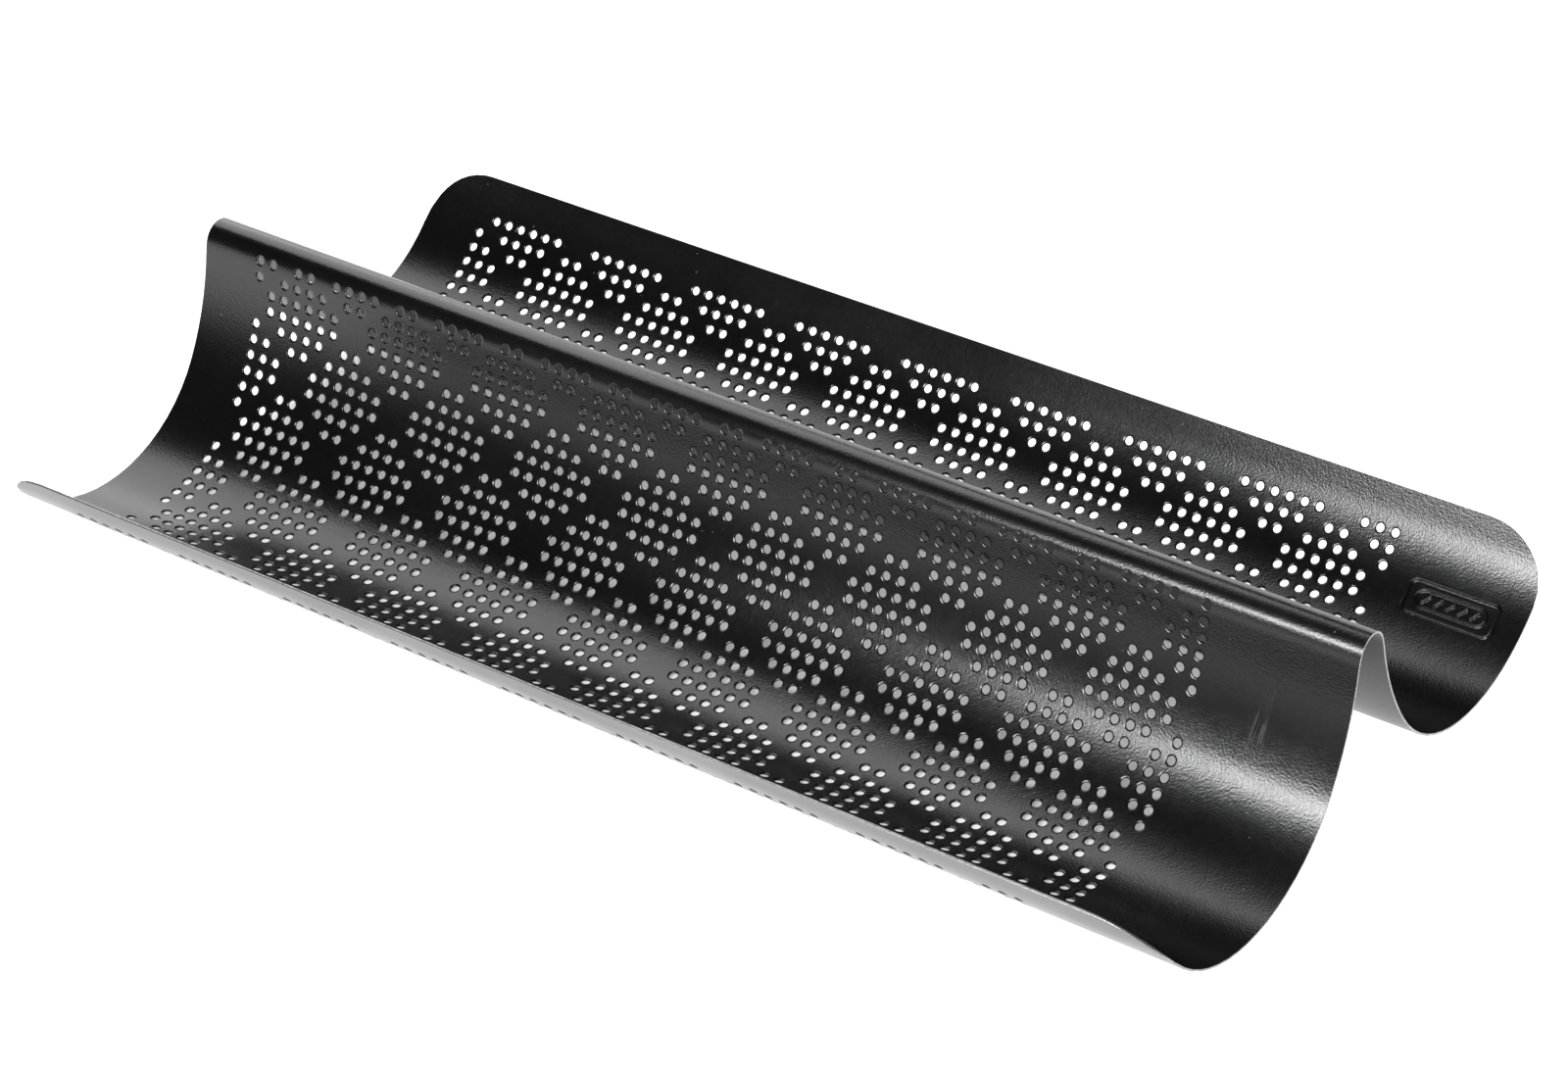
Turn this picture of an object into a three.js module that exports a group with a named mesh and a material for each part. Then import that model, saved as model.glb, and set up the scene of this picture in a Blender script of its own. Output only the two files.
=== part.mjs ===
// Two-loaf baguette tray: one sheet of steel, perforated flat and then formed
// over two round troughs with a narrow ridge between them. Its four blank
// corners are rounded and all its edges are plain sheared edges.
//
// Millimetres, +Z up. +X runs along the troughs, +Y from the front trough to
// the back trough, and the origin is on the surface that the tray stands on,
// under the middle of the ridge.
import * as THREE from "three";

// ---- driving dimensions (mm) ----------------------------------------------
const SHEET = 0.6; // sheet thickness
const HOLE_PITCH = 5; // the holes' square pitch along the tray
const HOLE_COLUMNS = 68; // columns of the hole field, along X
const MARGIN_LEFT = 21.7; // plain sheet from the first column's centre to the -X end
const MARGIN_RIGHT = 47.1; // and from the last column's centre to the +X end, where the badge is
const LENGTH = (HOLE_COLUMNS - 1) * HOLE_PITCH + MARGIN_LEFT + MARGIN_RIGHT; // 403.8
const HALF_BLANK = 152; // from the ridge's crest to the sheet's long edge, along the sheet
const CORNER_R = 20.6; // radius of the blank's four corners
const BEND_BLEND = 1.5; // how softly one bend runs into the next, along the sheet

// Half of the section, from the crest outwards, as bends in the middle of the
// sheet's thickness: [length along the sheet, turn in degrees]. A positive turn
// bends the sheet down over the ridge, a negative one up into the trough.
const BENDS = [
  [7.55, 73.2], // over the crest, radius 6
  [3.0, 6.9], // end of the crest's bend: the steepest part of the flank
  [35.3, -22.3], // the ridge's flank, nearly straight
  [47.5, -57.8], // the trough's inner half, radius 47
  [52.6, -61.7], // the trough's outer half and wall, radius 49
  [6.05, 0.0], // the last of the wall, straight up to the edge
];
const FLAT_HALF = 3; // the trough's floor is flat this far each side of its lowest line

// ---- the section -------------------------------------------------------------
// Slope of the sheet at a distance u from the crest, in radians downwards.
function sharpSlope(u) {
  let from = 0,
    slope = 0;
  for (const [length, turn] of BENDS) {
    if (u <= from + length) return slope + ((u - from) / length) * turn;
    from += length;
    slope += turn;
  }
  return slope;
}
function slopeAt(u) {
  let sum = 0,
    weight = 0;
  for (let k = -12; k <= 12; k++) {
    const d = (k / 12) * 2.5 * BEND_BLEND,
      w = Math.exp(-0.5 * (d / BEND_BLEND) ** 2),
      v = u + d;
    sum += w * (v < 0 ? -sharpSlope(-v) : sharpSlope(v));
    weight += w;
  }
  return THREE.MathUtils.degToRad(sum / weight);
}

// Middle surface of one half: y outwards and z up from the crest, every STEP mm.
const STEP = 0.05;
const half = [{ u: 0, y: 0, z: 0, slope: 0 }];
for (let i = 1; i * STEP <= HALF_BLANK + 1e-9; i++) {
  const mid = slopeAt((i - 0.5) * STEP),
    last = half[i - 1];
  half.push({
    u: i * STEP,
    y: last.y + STEP * Math.cos(mid),
    z: last.z - STEP * Math.sin(mid),
    slope: slopeAt(i * STEP),
  });
}
const lowest = half.reduce((a, b) => (b.z < a.z ? b : a));
const flatZ = half.find((p) => p.u >= lowest.u - FLAT_HALF).z; // middle of the sheet at the flat floor
const at = (u) => half[Math.min(half.length - 1, Math.round(u / STEP))];

// ---- stations along the blank, from the front edge (-Y) to the back edge ----
// Each station is a distance from the crest. They lie closer together over the
// crest and round the corners, and one pair bounds each flat floor.
const stations = [];
const spread = (from, to, count) => {
  for (let i = 0; i < count; i++) stations.push(from + ((to - from) * i) / count);
};
const cornerStart = HALF_BLANK - CORNER_R;
spread(0, 12, 10);
spread(12, lowest.u - FLAT_HALF, 24);
stations.push(lowest.u - FLAT_HALF);
spread(lowest.u + FLAT_HALF, cornerStart, 12);
for (let i = 0; i <= 12; i++)
  stations.push(cornerStart + CORNER_R * Math.sin((i / 12) * (Math.PI / 2)));
const blank = [...stations.slice(1).reverse().map((u) => -u), ...stations];

// Half length of the sheet at a station: full length, less the rounded corner.
function endAt(u) {
  const into = Math.max(0, Math.abs(u) - cornerStart);
  return LENGTH / 2 - CORNER_R + Math.sqrt(Math.max(0, CORNER_R ** 2 - into ** 2));
}

// ---- the sheet: a flat box, bent station by station ---------------------------
const rows = blank.length - 1;
const sheet = new THREE.BoxGeometry(1, 1, 1, 1, rows, 1);
const position = sheet.getAttribute("position");
for (let i = 0; i < position.count; i++) {
  const u = blank[Math.round((position.getY(i) + 0.5) * rows)],
    side = Math.sign(u) || 1,
    face = Math.sign(position.getZ(i)), // +1 the trough's inside, -1 its outside
    p = at(Math.abs(u)),
    isFloor = Math.abs(Math.abs(u) - lowest.u) < FLAT_HALF + 0.1,
    slope = isFloor ? 0 : p.slope,
    z = isFloor ? flatZ : p.z;
  position.setXYZ(
    i,
    Math.sign(position.getX(i)) * endAt(u),
    side * (p.y + face * (SHEET / 2) * Math.sin(slope)),
    z - flatZ + SHEET / 2 + face * (SHEET / 2) * Math.cos(slope),
  );
}
sheet.computeVertexNormals();

// ---- the object -----------------------------------------------------------------
const tray = new THREE.Group();
const traySheet = new THREE.Mesh(
  sheet,
  new THREE.MeshStandardMaterial({ color: 0x17181a, roughness: 0.38, metalness: 0.35 }),
);
traySheet.name = "tray_sheet";
tray.add(traySheet);

export default tray;
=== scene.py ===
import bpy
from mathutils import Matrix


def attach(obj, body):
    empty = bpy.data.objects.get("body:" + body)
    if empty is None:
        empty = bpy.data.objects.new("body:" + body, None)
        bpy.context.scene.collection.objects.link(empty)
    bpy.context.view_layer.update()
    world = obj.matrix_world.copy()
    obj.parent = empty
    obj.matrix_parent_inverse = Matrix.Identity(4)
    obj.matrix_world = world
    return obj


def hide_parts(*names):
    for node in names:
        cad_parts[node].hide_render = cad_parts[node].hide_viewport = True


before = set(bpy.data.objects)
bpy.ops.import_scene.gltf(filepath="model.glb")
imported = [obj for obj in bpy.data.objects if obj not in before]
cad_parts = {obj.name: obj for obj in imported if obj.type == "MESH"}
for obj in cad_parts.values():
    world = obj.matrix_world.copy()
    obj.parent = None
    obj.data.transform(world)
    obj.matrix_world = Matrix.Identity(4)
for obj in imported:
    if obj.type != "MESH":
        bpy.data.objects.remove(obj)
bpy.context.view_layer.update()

import math

import bpy
import numpy as np
from mathutils import Matrix, Vector

# ---------------------------------------------------------------------------
# The tray: one steel sheet, perforated flat and formed over two troughs.
# Millimetres here, and metres once the mesh is made. x runs along the tray,
# u across the blank, from -152 at the front edge over the ridge's crest (0)
# to +152 at the back edge.
# ---------------------------------------------------------------------------
SHEET = 0.6
LENGTH = 403.8
HALF_BLANK = 152.0
CORNER_R = 20.6
BEND_BLEND = 1.5
BENDS = [(7.55, 73.2), (3.0, 6.9), (35.3, -22.3), (47.5, -57.8), (52.6, -61.7), (6.05, 0.0)]
FLAT_HALF = 3.0

HOLE_R = 1.40           # round holes, nominally 3 mm: 2.8 mm clear at the inside face
HOLE_R_OUT = 1.35       # and 2.7 mm at the outside face, where the coating closes them a little
DISH_R = 1.86           # the inside face starts to roll into the hole here
RIM = 13                # sides of the polygon that stands for a round hole
PITCH_X = 5.0
PITCH_U = 5.0353
FIELD_X0 = -180.2       # centre of the first column
COLUMNS, ROWS = 68, 27
BACK_U0 = 7.694         # first row behind the crest
FRONT_U0 = 7.840        # first row in front of it


# ---- the section ------------------------------------------------------------
def sharp_slope(u):
    start, slope = 0.0, 0.0
    for length, turn in BENDS:
        if u <= start + length:
            return slope + (u - start) / length * turn
        start += length
        slope += turn
    return slope


def slope_at(u):
    total = weight = 0.0
    for k in range(-12, 13):
        d = k / 12 * 2.5 * BEND_BLEND
        w = math.exp(-0.5 * (d / BEND_BLEND) ** 2)
        v = u + d
        total += w * (-sharp_slope(-v) if v < 0 else sharp_slope(v))
        weight += w
    return math.radians(total / weight)


STEP = 0.05
_n = int(round(HALF_BLANK / STEP))
PU = np.arange(_n + 1) * STEP
_mid = np.array([slope_at((i + 0.5) * STEP) for i in range(_n)])
PA = np.array([slope_at(i * STEP) for i in range(_n + 1)])
PY = np.concatenate([[0.0], np.cumsum(STEP * np.cos(_mid))])
PZ = np.concatenate([[0.0], -np.cumsum(STEP * np.sin(_mid))])
LOWEST = PU[int(np.argmin(PZ))]
FLAT_Z = float(np.interp(LOWEST - FLAT_HALF, PU, PZ))


# ---- the badge: a plain frame with a loaf sign, pressed into the sheet --------
BADGE_X, BADGE_U = 179.4, 123.1
BADGE_RISE = 0.42


def _segment(x, u, ax, au, bx, bu):
    px, pu, dx, du = x - ax, u - au, bx - ax, bu - au
    t = np.clip((px * dx + pu * du) / (dx * dx + du * du), 0, 1)
    return np.hypot(px - t * dx, pu - t * du)


def _round_box(x, u, hx, hu, r):
    qx, qu = np.abs(x) - hx + r, np.abs(u) - hu + r
    return np.hypot(np.maximum(qx, 0), np.maximum(qu, 0)) + np.minimum(np.maximum(qx, qu), 0) - r


def badge_height(x, u):
    """How far the sheet is pressed up at (x, u), in mm."""
    X, U = np.asarray(x, float) - BADGE_X, np.asarray(u, float) - BADGE_U
    line = np.abs(_round_box(X, U, 14.2, 5.15, 2.0))
    loaf = np.abs(_round_box(X, U, 11.2, 2.75, 2.75))
    for k in (-2, -1, 0, 1, 2):
        line = np.minimum(line, _segment(X, U, k * 3.9 - 0.9, -1.15, k * 3.9 + 0.9, 1.15) * 1.05)
    d = np.minimum(line, loaf)
    t = np.clip(1 - d / 0.56, 0, 1)
    return BADGE_RISE * t * t * (3 - 2 * t)


def place(x, u, face):
    """Point and normal of the sheet's face (+1 inside, -1 outside) at (x, u)."""
    x, u = np.asarray(x, float), np.asarray(u, float)
    side, au = np.where(u < 0, -1.0, 1.0), np.abs(u)
    y, z, a = np.interp(au, PU, PY), np.interp(au, PU, PZ), np.interp(au, PU, PA)
    z = np.maximum(z, FLAT_Z)
    n = np.stack([0 * a, side * np.sin(a), np.cos(a)], -1)
    p = np.stack([x, side * y, z - FLAT_Z + SHEET / 2], -1)
    h = badge_height(x, u)
    e = 0.05
    hx = (badge_height(x + e, u) - badge_height(x - e, u)) / (2 * e)
    hu = (badge_height(x, u + e) - badge_height(x, u - e)) / (2 * e)
    p = p + n * (face * SHEET / 2 + h)[..., None]
    along = np.stack([0 * a, np.cos(a), -side * np.sin(a)], -1)
    n = n - hu[..., None] * along
    n[..., 0] -= hx
    n /= np.linalg.norm(n, axis=-1, keepdims=True)
    return p, n * face if np.isscalar(face) else n * face[..., None]


# ---- the flat pattern -----------------------------------------------------------
HATS = {0: (0, 5), 1: (0, 5), 2: (1, 4), 3: (2, 3), 6: (2, 3), 7: (1, 4)}
BARS = {4: (4, 9), 5: (4, 9), 3: (5, 8), 2: (6, 7), 6: (5, 8), 7: (6, 7)}


def punched(column, kind):
    """Whether column -1..66 has a hole in a row of that kind, 0..7."""
    k, kind = column % 8, kind % 8
    if kind in HATS and HATS[kind][0] <= k <= HATS[kind][1]:
        return True
    return kind in BARS and any(BARS[kind][0] <= kk <= BARS[kind][1] for kk in (k, k + 8))


def end_at(u):
    into = max(0.0, abs(u) - (HALF_BLANK - CORNER_R))
    return LENGTH / 2 - CORNER_R + math.sqrt(max(0.0, CORNER_R**2 - into**2))


FX0, FX1 = FIELD_X0 - PITCH_X / 2, FIELD_X0 + (COLUMNS - 0.5) * PITCH_X
LEFT_T = [0.0, 0.34, 0.68, 1.0]                       # plain margin, -X end to the field
RIGHT_X = [FX1, 163.4, 171.4, 179.4, 187.4, 195.4, LENGTH / 2]
RIGHT_T = [(x - FX1) / (LENGTH / 2 - FX1) for x in RIGHT_X]
NL = len(LEFT_T) - 1


def x_lines(u):
    """Where the mesh's lines along the blank stand at u: margin, field, margin."""
    end = end_at(u)
    slide = max(0.0, min(1.0, (abs(u) - 141.4) / 5.0))
    left = FX0 + 2.2 * slide
    xs = [-end + t * (left + end) for t in LEFT_T[:-1]]
    field = [FX0 + k * PITCH_X for k in range(COLUMNS + 1)]
    field[0] = left
    xs += field
    xs += [FX1 + t * (end - FX1) for t in RIGHT_T[1:]]
    return xs


# Stations across the blank, front edge to back edge. ("row", m) marks the start
# of a row of the hole field, and first rows get lines of their own inside.
_corner = HALF_BLANK - CORNER_R
_outer_b = BACK_U0 - PITCH_U / 2 + ROWS * PITCH_U
_outer_f = FRONT_U0 - PITCH_U / 2 + ROWS * PITCH_U
_arc = [HALF_BLANK - CORNER_R + CORNER_R * math.sin(t) for t in np.linspace(math.asin((_outer_b + 0.3 - _corner) / CORNER_R), math.pi / 2, 8)[1:]]
crest_b, crest_f = BACK_U0 - PITCH_U / 2, FRONT_U0 - PITCH_U / 2
stations = [-u for u in reversed(_arc)]
front_lines = [-(crest_f + m * PITCH_U) for m in range(ROWS, -1, -1)]
back_lines = [crest_b + m * PITCH_U for m in range(ROWS + 1)]
crest_lines = list(np.linspace(-crest_f, crest_b, 13)[1:-1])
stations = stations + front_lines + crest_lines + back_lines + _arc
ROW_AT = {}
for m in range(ROWS):
    ROW_AT[len(_arc) + (ROWS - 1 - m)] = ("front", m)
    ROW_AT[len(_arc) + ROWS + 1 + len(crest_lines) + m] = ("back", m)

pts = []          # flat-pattern points (x, u)
tris = []         # flat-pattern triangles, counter-clockwise seen from inside the trough
holes = []        # closed loops of point numbers round each hole, counter-clockwise


def point(x, u):
    pts.append((x, u))
    return len(pts) - 1


grid = [[point(x, u) for x in x_lines(u)] for u in stations]
NX = len(grid[0])


def zip_loops(outer, inner, cx, cu):
    """Triangles between two loops that each go once round (cx, cu), counter-clockwise."""
    def angles(loop):
        a = [math.atan2(pts[i][1] - cu, pts[i][0] - cx) for i in loop]
        k = a.index(min(a))
        loop, a = loop[k:] + loop[:k], a[k:] + a[:k]
        return loop, a
    outer, ao = angles(outer)
    inner, ai = angles(inner)
    ao, ai = ao + [ao[0] + 2 * math.pi], ai + [ai[0] + 2 * math.pi]
    i = j = 0
    no, ni = len(outer), len(inner)
    out = []
    while i < no or j < ni:
        if j >= ni or (i < no and ao[i] + ao[i + 1] <= ai[j] + ai[j + 1]):
            out.append((outer[i % no], outer[(i + 1) % no], inner[j % ni]))
            i += 1
        else:
            out.append((outer[i % no], inner[(j + 1) % ni], inner[j % ni]))
            j += 1
    return out


# extra points on the first rows' cell sides, where the crest's bend runs out
EXTRA = (0.2, 0.42, 0.66)
side_points = {}
for r, (trough, m) in ROW_AT.items():
    if m == 0:
        fractions = EXTRA if trough == "back" else tuple(1 - f for f in reversed(EXTRA))
        for c in range(NX):
            a, b = pts[grid[r][c]], pts[grid[r + 1][c]]
            side_points[(r, c)] = [point(a[0] + f * (b[0] - a[0]), a[1] + f * (b[1] - a[1])) for f in fractions]

# the badge's block: fine squares inside a ring that meets the coarse lines
block_c0, block_c1 = NL + COLUMNS + 1, NL + COLUMNS + 5
block_r0 = len(_arc) + ROWS + 1 + len(crest_lines) + 22
block_r1 = block_r0 + 3
BX0, BX1 = pts[grid[block_r0][block_c0]][0] + 0.9, pts[grid[block_r0][block_c1]][0] - 0.9
BU0, BU1 = stations[block_r0] + 0.9, stations[block_r1] - 0.9
BNX, BNU = 88, 38

hole_count = 0
for r in range(len(stations) - 1):
    for c in range(NX - 1):
        if block_r0 <= r < block_r1 and block_c0 <= c < block_c1:
            continue
        left = [grid[r][c]] + side_points.get((r, c), []) + [grid[r + 1][c]]
        right = [grid[r][c + 1]] + side_points.get((r, c + 1), []) + [grid[r + 1][c + 1]]
        in_field = NL <= c < NL + COLUMNS
        hole = False
        if in_field and r in ROW_AT:
            trough, m = ROW_AT[r]
            column = c - NL - 1
            if trough == "front":
                kind, hu = m + 6, -(FRONT_U0 + m * PITCH_U)
            else:
                kind, hu = 27 - m, BACK_U0 + m * PITCH_U
            hole = punched(column, kind)
        if not hole:
            for k in range(len(left) - 1):
                if (r + c) % 2:
                    tris += [(left[k], right[k], right[k + 1]), (left[k], right[k + 1], left[k + 1])]
                else:
                    tris += [(left[k], right[k], left[k + 1]), (right[k], right[k + 1], left[k + 1])]
            continue
        hx = FIELD_X0 + (column + 1) * PITCH_X
        phase = 0.37 * ((3 * r + 5 * c) % 7)
        rim = []
        for k in range(RIM):
            t = 2 * math.pi * k / RIM + phase
            rim.append(point(hx + 1.012 * HOLE_R * math.cos(t), hu + 1.012 * HOLE_R * math.sin(t)))
        holes.append(rim)
        hole_count += 1
        tris += zip_loops(right + left[::-1], rim, hx, hu)

fine = [[point(BX0 + (BX1 - BX0) * i / BNX, BU0 + (BU1 - BU0) * j / BNU) for i in range(BNX + 1)] for j in range(BNU + 1)]
for j in range(BNU):
    for i in range(BNX):
        a, b, c, d = fine[j][i], fine[j][i + 1], fine[j + 1][i + 1], fine[j + 1][i]
        tris += [(a, b, c), (a, c, d)] if (i + j) % 2 else [(a, b, d), (b, c, d)]
fine_loop = fine[0][:] + [fine[j][BNX] for j in range(1, BNU + 1)] + fine[BNU][BNX - 1::-1] + [fine[j][0] for j in range(BNU - 1, 0, -1)]
block_loop = (
    [grid[block_r0][c] for c in range(block_c0, block_c1 + 1)]
    + [grid[r][block_c1] for r in range(block_r0 + 1, block_r1 + 1)]
    + [grid[block_r1][c] for c in range(block_c1 - 1, block_c0 - 1, -1)]
    + [grid[r][block_c0] for r in range(block_r1 - 1, block_r0, -1)]
)
tris += zip_loops(block_loop, fine_loop, (BX0 + BX1) / 2, (BU0 + BU1) / 2)

# the sheet's outline, counter-clockwise seen from inside the trough
outline = grid[0][:]
for r in range(len(stations) - 1):
    outline += side_points.get((r, NX - 1), []) + [grid[r + 1][NX - 1]]
outline += grid[-1][NX - 2::-1]
for r in range(len(stations) - 2, -1, -1):
    outline += side_points.get((r, 0), [])[::-1] + ([grid[r][0]] if r else [])

P2 = np.array(pts, float)
T2 = np.array(tris, int)
kept, T2 = np.unique(T2, return_inverse=True)     # the coarse points inside the badge's block go
T2 = T2.reshape(-1, 3)
number = np.full(len(P2), -1)
number[kept] = np.arange(len(kept))
P2 = P2[kept]
holes = number[np.array(holes, int)]
outline = number[np.array(outline, int)]
NPTS = len(P2)

# ---- the solid sheet: both faces, the holes' walls and the sheared edge ----------
P2_OUT = P2.copy()
_c = P2[holes].mean(1, keepdims=True)
P2_OUT[holes] = _c + (P2[holes] - _c) * (HOLE_R_OUT / HOLE_R)
top, n_top = place(P2[:, 0], P2[:, 1], 1.0)
bottom, n_bottom = place(P2_OUT[:, 0], P2_OUT[:, 1], -1.0)
verts = np.concatenate([top, bottom]) / 1000.0
faces, normals, slots, uvs = [], [], [], []

BAKE_W, BAKE_H = 0.94, 0.44


def uv_of(x, u, half):
    """Flat pattern to bake layout: the inside in the upper half, the outside in the lower one."""
    return np.stack([0.03 + BAKE_W * (x + LENGTH / 2) / LENGTH, (0.53 if half else 0.03) + BAKE_H * (u + HALF_BLANK) / (2 * HALF_BLANK)], -1)


uv_top, uv_bottom = uv_of(P2[:, 0], P2[:, 1], True), uv_of(P2_OUT[:, 0], P2_OUT[:, 1], False)
faces.append(T2)
normals.append(n_top[T2])
uvs.append(uv_top[T2])
slots.append(np.zeros(len(T2), int))
flipped = T2[:, ::-1]
faces.append(flipped + NPTS)
normals.append(n_bottom[flipped])
uvs.append(uv_bottom[flipped])
slots.append(np.ones(len(T2), int))


def wall(a, b, outward_a, outward_b, tilt, slot, uv_a, uv_b):
    """Quads down the sheet's thickness from points a to b. outward_* point out of the metal, in the sheet's surface.
    tilt is how far the coating rounds the inside and the outside rim over, in degrees."""
    (ci, si), (co_, so_) = ((math.cos(math.radians(t)), math.sin(math.radians(t))) for t in tilt)
    quad = np.stack([a, b, b + NPTS, a + NPTS], -1)
    na_t, nb_t = outward_a * ci + n_top[a] * si, outward_b * ci + n_top[b] * si
    na_b, nb_b = outward_a * co_ + n_bottom[a] * so_, outward_b * co_ + n_bottom[b] * so_
    nq = np.stack([na_t, nb_t, nb_b, na_b], 1)
    nq /= np.linalg.norm(nq, axis=-1, keepdims=True)
    uvq = np.stack([uv_a[0], uv_b[0], uv_b[1], uv_a[1]], 1)
    # outside of the metal on the walker's left: bottom first keeps the face turned out
    for order in ((0, 2, 1), (0, 3, 2)):
        faces.append(quad[:, order])
        normals.append(nq[:, order])
        uvs.append(uvq[:, order])
        slots.append(np.full(len(quad), slot))


def surface_vector(dx, du, at):
    """A direction in the flat pattern at each point, as a direction on the formed sheet."""
    u = P2[at, 1]
    side, a = np.where(u < 0, -1.0, 1.0), np.interp(np.abs(u), PU, PA)
    v = np.stack([dx, du * np.cos(a), -du * side * np.sin(a)], -1)
    return v / np.linalg.norm(v, axis=-1, keepdims=True)


loops = np.array(holes, int)
centre = P2[loops].mean(1)
a, b = loops.reshape(-1), np.roll(loops, -1, 1).reshape(-1)
# Walking a hole clockwise keeps the metal on the right, as the outline does.
cen = np.repeat(centre, RIM, 0)
oa, ob = surface_vector(*(cen - P2[a]).T, a), surface_vector(*(cen - P2[b]).T, b)
uc = uv_of(cen[:, 0], cen[:, 1], True)
ring = lambda at, k: uc + (uv_top[at] - uc) * k
wall(b, a, ob, oa, (62, 6), 2, (ring(b, 0.93), ring(b, 0.45)), (ring(a, 0.93), ring(a, 0.45)))

ol = np.array(outline, int)
on = np.roll(ol, -1)
chord = P2[on] - P2[ol]
seg_out = np.stack([chord[:, 1], -chord[:, 0]], -1)
seg_out /= np.linalg.norm(seg_out, axis=-1, keepdims=True)
corner_out = seg_out + np.roll(seg_out, 1, 0)
corner_out /= np.linalg.norm(corner_out, axis=-1, keepdims=True)
next_out = np.roll(corner_out, -1, 0)
oa, ob = surface_vector(corner_out[:, 0], corner_out[:, 1], ol), surface_vector(next_out[:, 0], next_out[:, 1], on)
push = lambda at, out, k: uv_top[at] + np.stack([out[:, 0] * k / LENGTH, out[:, 1] * k / (2 * HALF_BLANK)], -1)
wall(ol, on, oa, ob, (30, 20), 3, (push(ol, corner_out, 0.8), push(ol, corner_out, 3.0)), (push(on, next_out, 0.8), push(on, next_out, 3.0)))

F = np.concatenate(faces)
NRM = np.concatenate(normals).reshape(-1, 3)
UV = np.concatenate(uvs).reshape(-1, 2)
SLOT = np.concatenate(slots)


def sheet_mesh(name):
    me = bpy.data.meshes.new(name)
    me.vertices.add(len(verts))
    me.vertices.foreach_set("co", verts.astype(np.float32).ravel())
    me.loops.add(len(F) * 3)
    me.loops.foreach_set("vertex_index", F.astype(np.int32).ravel())
    me.polygons.add(len(F))
    me.polygons.foreach_set("loop_start", np.arange(0, len(F) * 3, 3, dtype=np.int32))
    me.polygons.foreach_set("loop_total", np.full(len(F), 3, np.int32))
    me.polygons.foreach_set("material_index", SLOT.astype(np.int32))
    me.polygons.foreach_set("use_smooth", np.ones(len(F), bool))
    layer = me.uv_layers.new(name="OFBake")
    layer.data.foreach_set("uv", UV.astype(np.float32).ravel())
    me.update(calc_edges=True)
    flat = me.attributes.new("flat_mm", "FLOAT_VECTOR", "POINT")
    both = np.concatenate([P2, P2])
    flat.data.foreach_set("vector", np.concatenate([both, np.zeros((len(both), 1))], 1).astype(np.float32).ravel())
    rim_mark = np.zeros(2 * NPTS)
    rim_mark[holes] = 1.0
    me.attributes.new("rim", "FLOAT", "POINT").data.foreach_set("value", rim_mark.astype(np.float32))
    me.normals_split_custom_set(NRM.tolist())
    return me


# ---- materials --------------------------------------------------------------------
def material(name):
    m = bpy.data.materials.new(name)
    m.use_nodes = True
    nt = m.node_tree
    nt.nodes.clear()
    out = nt.nodes.new("ShaderNodeOutputMaterial")
    bsdf = nt.nodes.new("ShaderNodeBsdfPrincipled")
    nt.links.new(bsdf.outputs["BSDF"], out.inputs["Surface"])
    return m, nt, bsdf


def noise(nt, vector, scale, detail=2.0, rough=0.5, stretch=None):
    node = nt.nodes.new("ShaderNodeTexNoise")
    node.inputs["Scale"].default_value = scale
    node.inputs["Detail"].default_value = detail
    node.inputs["Roughness"].default_value = rough
    if stretch:
        mapping = nt.nodes.new("ShaderNodeMapping")
        mapping.inputs["Scale"].default_value = stretch
        nt.links.new(vector, mapping.inputs["Vector"])
        vector = mapping.outputs["Vector"]
    nt.links.new(vector, node.inputs["Vector"])
    return node.outputs["Fac"]


def remap(nt, value, a, b, c, d, smooth=False):
    node = nt.nodes.new("ShaderNodeMapRange")
    node.interpolation_type = "SMOOTHSTEP" if smooth else "LINEAR"
    for k, v in zip(("From Min", "From Max", "To Min", "To Max"), (a, b, c, d)):
        node.inputs[k].default_value = v
    nt.links.new(value, node.inputs["Value"])
    return node.outputs["Result"]


def math_node(nt, op, a, b):
    node = nt.nodes.new("ShaderNodeMath")
    node.operation = op
    for k, v in enumerate((a, b)):
        if isinstance(v, (int, float)):
            node.inputs[k].default_value = v
        else:
            nt.links.new(v, node.inputs[k])
    return node.outputs[0]


def mix_colour(nt, factor, a, b):
    node = nt.nodes.new("ShaderNodeMix")
    node.data_type = "RGBA"
    if isinstance(factor, (int, float)):
        node.inputs[0].default_value = factor
    else:
        nt.links.new(factor, node.inputs[0])
    for k, v in ((6, a), (7, b)):
        if isinstance(v, tuple):
            node.inputs[k].default_value = (*v, 1)
        else:
            nt.links.new(v, node.inputs[k])
    return node.outputs[2]


def object_coords(nt):
    return nt.nodes.new("ShaderNodeTexCoord").outputs["Object"]


def bump(nt, height, distance, strength, normal=None):
    node = nt.nodes.new("ShaderNodeBump")
    node.inputs["Distance"].default_value = distance
    node.inputs["Strength"].default_value = strength
    nt.links.new(height, node.inputs["Height"])
    if normal is not None:
        nt.links.new(normal, node.inputs["Normal"])
    return node.outputs["Normal"]


def vector_node(nt, op, a, b=None):
    node = nt.nodes.new("ShaderNodeVectorMath")
    node.operation = op
    nt.links.new(a, node.inputs[0])
    if b is not None:
        nt.links.new(b, node.inputs[1])
    return node.outputs[0]


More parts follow.
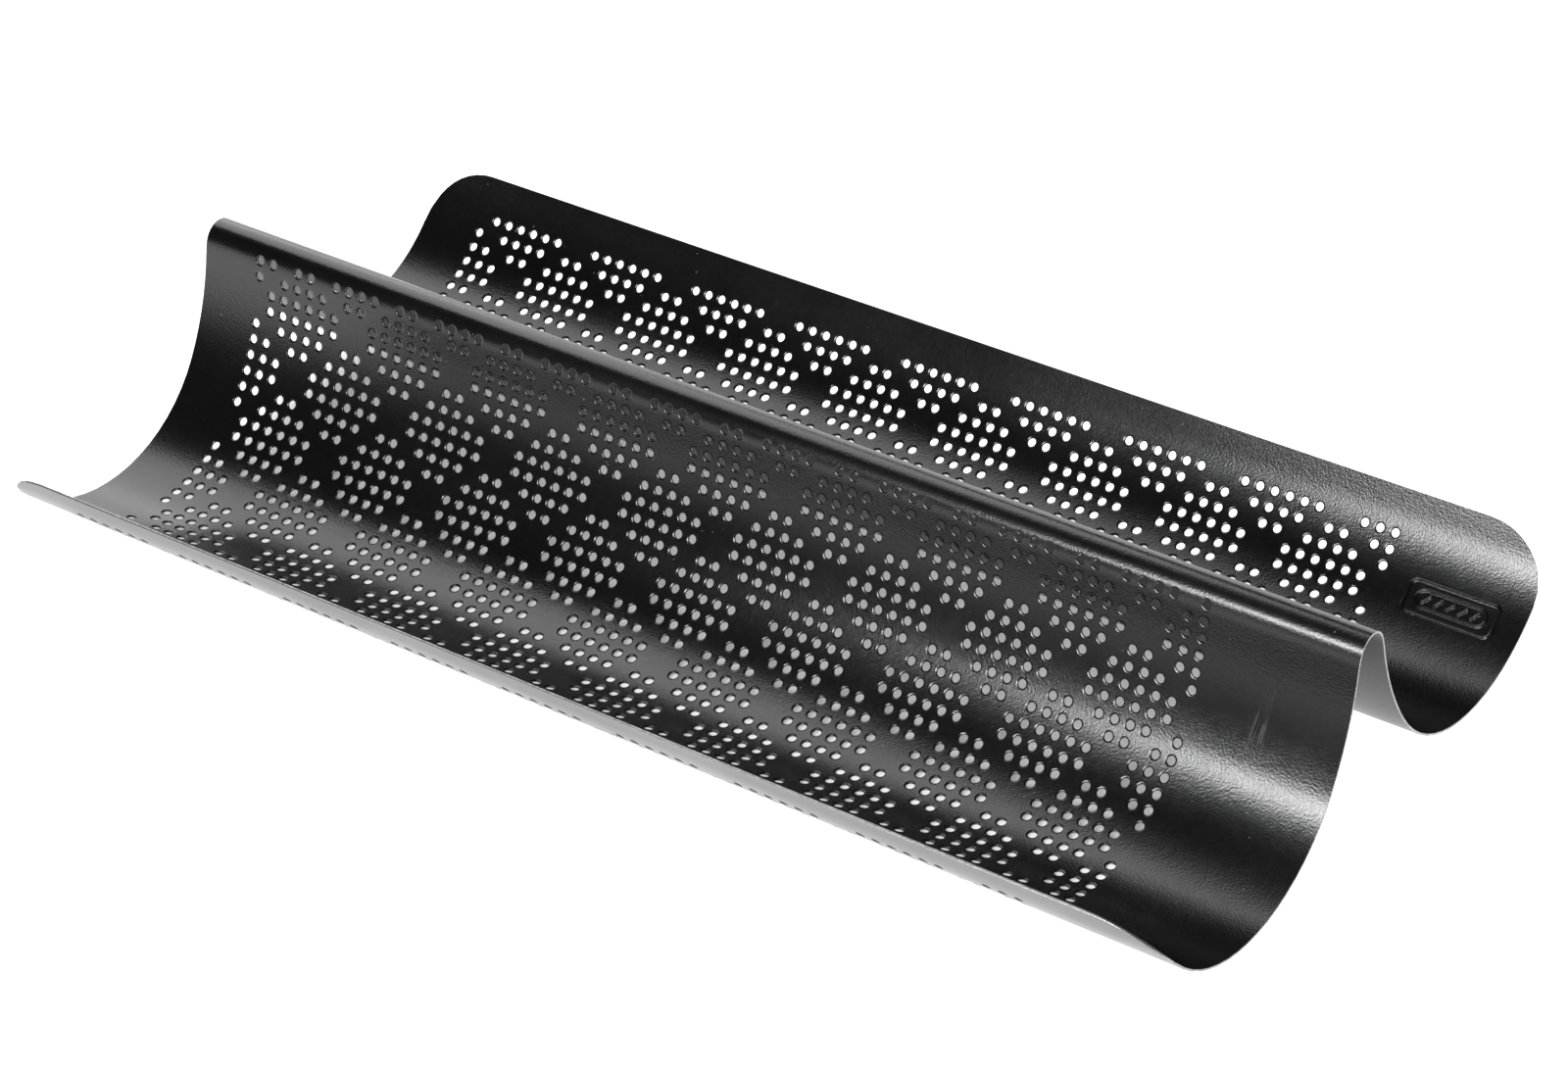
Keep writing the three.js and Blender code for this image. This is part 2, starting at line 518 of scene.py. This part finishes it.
def rolled_rims(nt, x, u):
    """The inside face's normal, tipped into each hole where the punch has rolled the rim in."""
    geo = nt.nodes.new("ShaderNodeNewGeometry").outputs["Normal"]
    nsep = nt.nodes.new("ShaderNodeSeparateXYZ")
    nt.links.new(geo, nsep.inputs[0])
    back = math_node(nt, "GREATER_THAN", u, 0.0)
    sign = remap(nt, back, 0, 1, -1, 1)
    du = math_node(nt, "SUBTRACT", math_node(nt, "ABSOLUTE", u, 0.0), remap(nt, back, 0, 1, FRONT_U0, BACK_U0))
    du = math_node(nt, "SUBTRACT", du, math_node(nt, "MULTIPLY", math_node(nt, "ROUND", math_node(nt, "DIVIDE", du, PITCH_U), 0.0), PITCH_U))
    dx = math_node(nt, "SUBTRACT", x, FIELD_X0)
    dx = math_node(nt, "SUBTRACT", dx, math_node(nt, "MULTIPLY", math_node(nt, "ROUND", math_node(nt, "DIVIDE", dx, PITCH_X), 0.0), PITCH_X))
    r = math_node(nt, "SQRT", math_node(nt, "ADD", math_node(nt, "MULTIPLY", dx, dx), math_node(nt, "MULTIPLY", du, du)), 0.0)
    mark = nt.nodes.new("ShaderNodeAttribute")
    mark.attribute_name = "rim"
    inside = math_node(nt, "MULTIPLY", remap(nt, mark.outputs["Fac"], 0.12, 0.3, 0, 1, True), remap(nt, r, DISH_R - 0.08, DISH_R, 1, 0, True))
    slope = math_node(nt, "MULTIPLY", remap(nt, r, HOLE_R, DISH_R - 0.04, 0.46, 0.14), inside)
    k = math_node(nt, "DIVIDE", slope, math_node(nt, "MAXIMUM", r, 0.5))
    ku = math_node(nt, "MULTIPLY", math_node(nt, "MULTIPLY", du, sign), k)
    tip = nt.nodes.new("ShaderNodeCombineXYZ")
    nt.links.new(math_node(nt, "MULTIPLY", dx, k), tip.inputs["X"])
    nt.links.new(math_node(nt, "MULTIPLY", ku, nsep.outputs["Z"]), tip.inputs["Y"])
    nt.links.new(math_node(nt, "MULTIPLY", math_node(nt, "MULTIPLY", ku, nsep.outputs["Y"]), -1.0), tip.inputs["Z"])
    return vector_node(nt, "NORMALIZE", vector_node(nt, "SUBTRACT", geo, tip.outputs["Vector"]))


def nonstick():
    """Black sprayed non-stick coating: orange peel, faint drift in gloss, dust and a few hairline rubs."""
    m, nt, b = material("nonstick_inside")
    v = object_coords(nt)
    peel = noise(nt, v, 1550, 1.5, 0.5)
    slow = noise(nt, v, 260, 1.0, 0.5)
    gloss = noise(nt, v, 22, 3.0, 0.6)
    fine = noise(nt, v, 420, 3.0, 0.6)
    rough = math_node(nt, "ADD", remap(nt, gloss, 0.3, 0.7, 0.225, 0.27), remap(nt, fine, 0.3, 0.7, -0.015, 0.02))
    # dust: sparse small spots
    dust = nt.nodes.new("ShaderNodeTexVoronoi")
    dust.feature = "F1"
    dust.inputs["Scale"].default_value = 240
    nt.links.new(v, dust.inputs["Vector"])
    spot = remap(nt, dust.outputs["Distance"], 0.03, 0.075, 1.0, 0.0, True)
    few = remap(nt, noise(nt, v, 75, 2.0, 0.7), 0.5, 0.66, 0.0, 1.0, True)
    spots = math_node(nt, "MULTIPLY", spot, few)
    # rubs: short hairlines across the front trough near its badge end
    flat = nt.nodes.new("ShaderNodeAttribute")
    flat.attribute_name = "flat_mm"
    sep = nt.nodes.new("ShaderNodeSeparateXYZ")
    nt.links.new(flat.outputs["Vector"], sep.inputs[0])
    width = remap(nt, sep.outputs["Y"], -46, -18, 3.6, 1.1)
    centre_x = remap(nt, sep.outputs["Y"], -46, -18, 176.3, 178.2)
    across = math_node(nt, "DIVIDE", math_node(nt, "SUBTRACT", sep.outputs["X"], centre_x), width)
    within = remap(nt, math_node(nt, "ABSOLUTE", across, 0.0), 0.45, 1.15, 1, 0, True)
    near_u = math_node(nt, "MULTIPLY", remap(nt, sep.outputs["Y"], -48, -38, 0, 1, True), remap(nt, sep.outputs["Y"], -33, -15, 1, 0, True))
    fan = nt.nodes.new("ShaderNodeCombineXYZ")
    nt.links.new(across, fan.inputs["X"])
    nt.links.new(sep.outputs["Y"], fan.inputs["Y"])
    hair = noise(nt, fan.outputs["Vector"], 1.0, 3.0, 0.65, (4.2, 0.07, 0.0))
    rub = math_node(nt, "MULTIPLY", math_node(nt, "MULTIPLY", within, near_u), remap(nt, hair, 0.5, 0.66, 0, 1, True))
    tone = mix_colour(nt, remap(nt, gloss, 0.3, 0.7, 0, 1), (0.0022, 0.0023, 0.0024), (0.0034, 0.0034, 0.0035))
    tone = mix_colour(nt, math_node(nt, "MULTIPLY", spots, 0.55), tone, (0.3, 0.3, 0.295))
    tone = mix_colour(nt, math_node(nt, "MULTIPLY", rub, 0.5), tone, (0.05, 0.05, 0.05))
    nt.links.new(tone, b.inputs["Base Color"])
    rough = math_node(nt, "ADD", rough, math_node(nt, "MULTIPLY", rub, 0.14))
    nt.links.new(math_node(nt, "ADD", rough, math_node(nt, "MULTIPLY", spots, 0.2)), b.inputs["Roughness"])
    b.inputs["IOR"].default_value = 1.62
    b.inputs["Specular IOR Level"].default_value = 0.5
    n1 = bump(nt, slow, 0.00010, 0.2, rolled_rims(nt, sep.outputs["X"], sep.outputs["Y"]))
    nt.links.new(bump(nt, peel, 0.00006, 0.85, n1), b.inputs["Normal"])
    return m


def outside():
    """The sheet's outside: the same coating sprayed thinner, a little rougher, with faint rolling lines."""
    m, nt, b = material("nonstick_outside")
    v = object_coords(nt)
    lines = noise(nt, v, 90, 4.0, 0.65, (0.12, 3.0, 3.0))
    cloud = noise(nt, v, 30, 3.0, 0.6)
    tone = mix_colour(nt, remap(nt, lines, 0.35, 0.65, 0, 1), (0.006, 0.006, 0.006), (0.012, 0.012, 0.012))
    nt.links.new(tone, b.inputs["Base Color"])
    nt.links.new(remap(nt, math_node(nt, "ADD", lines, cloud), 0.7, 1.3, 0.26, 0.34), b.inputs["Roughness"])
    b.inputs["IOR"].default_value = 1.62
    nt.links.new(bump(nt, noise(nt, v, 1500, 1.5, 0.5), 0.00005, 0.4), b.inputs["Normal"])
    return m


def hole_wall():
    m, nt, b = material("coated_hole_wall")
    v = object_coords(nt)
    n = noise(nt, v, 900, 2.0, 0.5)
    nt.links.new(mix_colour(nt, remap(nt, n, 0.3, 0.7, 0, 1), (0.008, 0.008, 0.008), (0.022, 0.022, 0.022)), b.inputs["Base Color"])
    nt.links.new(remap(nt, n, 0.3, 0.7, 0.22, 0.34), b.inputs["Roughness"])
    b.inputs["IOR"].default_value = 1.62
    nt.links.new(bump(nt, n, 0.00004, 0.3), b.inputs["Normal"])
    return m


def cut_edge():
    """Sheared edge: bare steel under the overspray."""
    m, nt, b = material("sheared_edge")
    v = object_coords(nt)
    n = noise(nt, v, 1400, 2.0, 0.6)
    nt.links.new(mix_colour(nt, remap(nt, n, 0.35, 0.7, 0, 1), (0.42, 0.42, 0.41), (0.22, 0.22, 0.22)), b.inputs["Base Color"])
    nt.links.new(remap(nt, n, 0.3, 0.7, 0.3, 0.48), b.inputs["Roughness"])
    b.inputs["Metallic"].default_value = 0.9
    nt.links.new(bump(nt, n, 0.00005, 0.4), b.inputs["Normal"])
    return m


tray = bpy.data.objects.new("perforated_sheet", sheet_mesh("perforated_sheet"))
bpy.context.scene.collection.objects.link(tray)
for m in (nonstick(), outside(), hole_wall(), cut_edge()):
    tray.data.materials.append(m)
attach(tray, "root")
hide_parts("tray_sheet")

# The CAD node stays hidden, and carries the same finish.
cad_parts["tray_sheet"].data.materials.clear()
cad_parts["tray_sheet"].data.materials.append(tray.data.materials[0])

# ---- floor: pale, with a painted glow round the tray and painted shade under it -----
me = bpy.data.meshes.new("floor")
S = 14.0
me.from_pydata([(-S, -S, 0), (S, -S, 0), (S, S, 0), (-S, S, 0)], [], [(0, 1, 2, 3)])
floor = bpy.data.objects.new("floor", me)
bpy.context.scene.collection.objects.link(floor)
m, nt, b = material("floor_white_painted_glow")
b.inputs["Base Color"].default_value = (0.62, 0.62, 0.62, 1)
b.inputs["Roughness"].default_value = 0.9
b.inputs["Specular IOR Level"].default_value = 0.1
# Painted light: the floor glows on its own, strongly outside the tray's footprint so that no shadow of the tray shows
# there, and only faintly beneath the tray, which is painted shade under it.
b.inputs["Emission Color"].default_value = (1, 1, 1, 1)
fs = nt.nodes.new("ShaderNodeSeparateXYZ")
nt.links.new(object_coords(nt), fs.inputs[0])
beyond = math_node(nt, "MAXIMUM", math_node(nt, "SUBTRACT", math_node(nt, "ABSOLUTE", math_node(nt, "ADD", fs.outputs["X"], 0.011), 0.0), 0.161), math_node(nt, "SUBTRACT", math_node(nt, "ABSOLUTE", fs.outputs["Y"], 0.0), 0.062))
nt.links.new(remap(nt, beyond, 0.0, 0.028, 0.29, 1.25, True), b.inputs["Emission Strength"])
me.materials.append(m)


# ---- lights ---------------------------------------------------------------------------
def area(name, at, aim, sx, sy, power, spread=180):
    light = bpy.data.lights.new(name, "AREA")
    light.shape = "RECTANGLE"
    light.size, light.size_y, light.energy = sx, sy, power
    light.spread = math.radians(spread)
    o = bpy.data.objects.new(name, light)
    o.location = at
    o.rotation_euler = (Vector(aim) - Vector(at)).to_track_quat("-Z", "Y").to_euler()
    o.visible_camera = False
    bpy.context.scene.collection.objects.link(o)
    return o


area("front_softbox", (0.118, -0.56, 0.48), (0.118, 0.294, 1.0), 0.485, 0.54, 18.4)
area("back_sweep", (-1.075, 0.672, 1.19), (0.0, 0.0, 0.0), 1.08, 1.36, 11.6)

world = bpy.data.worlds.new("studio")
bpy.context.scene.world = world
world.use_nodes = True
wt = world.node_tree
wt.nodes.clear()
wout = wt.nodes.new("ShaderNodeOutputWorld")
bg = wt.nodes.new("ShaderNodeBackground")
wt.links.new(bg.outputs[0], wout.inputs["Surface"])
wc = wt.nodes.new("ShaderNodeTexCoord")
ws = wt.nodes.new("ShaderNodeSeparateXYZ")
wt.links.new(wc.outputs["Generated"], ws.inputs[0])
bg.inputs["Color"].default_value = (1, 1, 1, 1)
horizon = remap(wt, ws.outputs["Z"], 0.07, 0.12, 0.55, 0.015, True)
sweep = math_node(wt, "MULTIPLY", remap(wt, ws.outputs["Y"], 0.4, 0.65, 0.0, 1.0, True), math_node(wt, "MULTIPLY", remap(wt, ws.outputs["Z"], 0.0, 0.4, 0.9, 2.8), remap(wt, ws.outputs["Z"], 0.36, 0.46, 1.0, 0.0, True)))
sweep = math_node(wt, "MULTIPLY", sweep, remap(wt, ws.outputs["Z"], -0.02, 0.02, 0.0, 1.0, True))
sweep = math_node(wt, "MULTIPLY", sweep, remap(wt, ws.outputs["X"], -0.25, -0.05, 1.0, 0.3, True))
wt.links.new(math_node(wt, "MAXIMUM", horizon, sweep), bg.inputs["Strength"])

# ---- camera ------------------------------------------------------------------------------
cam = bpy.data.cameras.new("camera")
cam.sensor_fit = "HORIZONTAL"
cam.sensor_width = 36.0
cam.lens = 106.316
cam.clip_start, cam.clip_end = 0.05, 60.0
cam.dof.use_dof = False
co = bpy.data.objects.new("camera", cam)
right = Vector((0.8110665240, 0.5833323114, -0.0435259468))
down = Vector((0.3038287121, -0.4836898435, -0.8208119450))
ahead = Vector((-0.4998591875, 0.6525086587, -0.5695377450))
rot = Matrix((right, -down, -ahead)).transposed().to_4x4()
co.matrix_world = Matrix.Translation((0.6762454, -0.8705337, 0.7818649)) @ rot
bpy.context.scene.collection.objects.link(co)
bpy.context.scene.camera = co
bpy.context.scene.view_settings.view_transform = "Standard"
bpy.context.scene.view_settings.look = "None"

# ---- update the view layer and print the sheet's counts ------------------------------------
bpy.context.view_layer.update()
print("sheet:", hole_count, "holes,", len(F), "triangles")
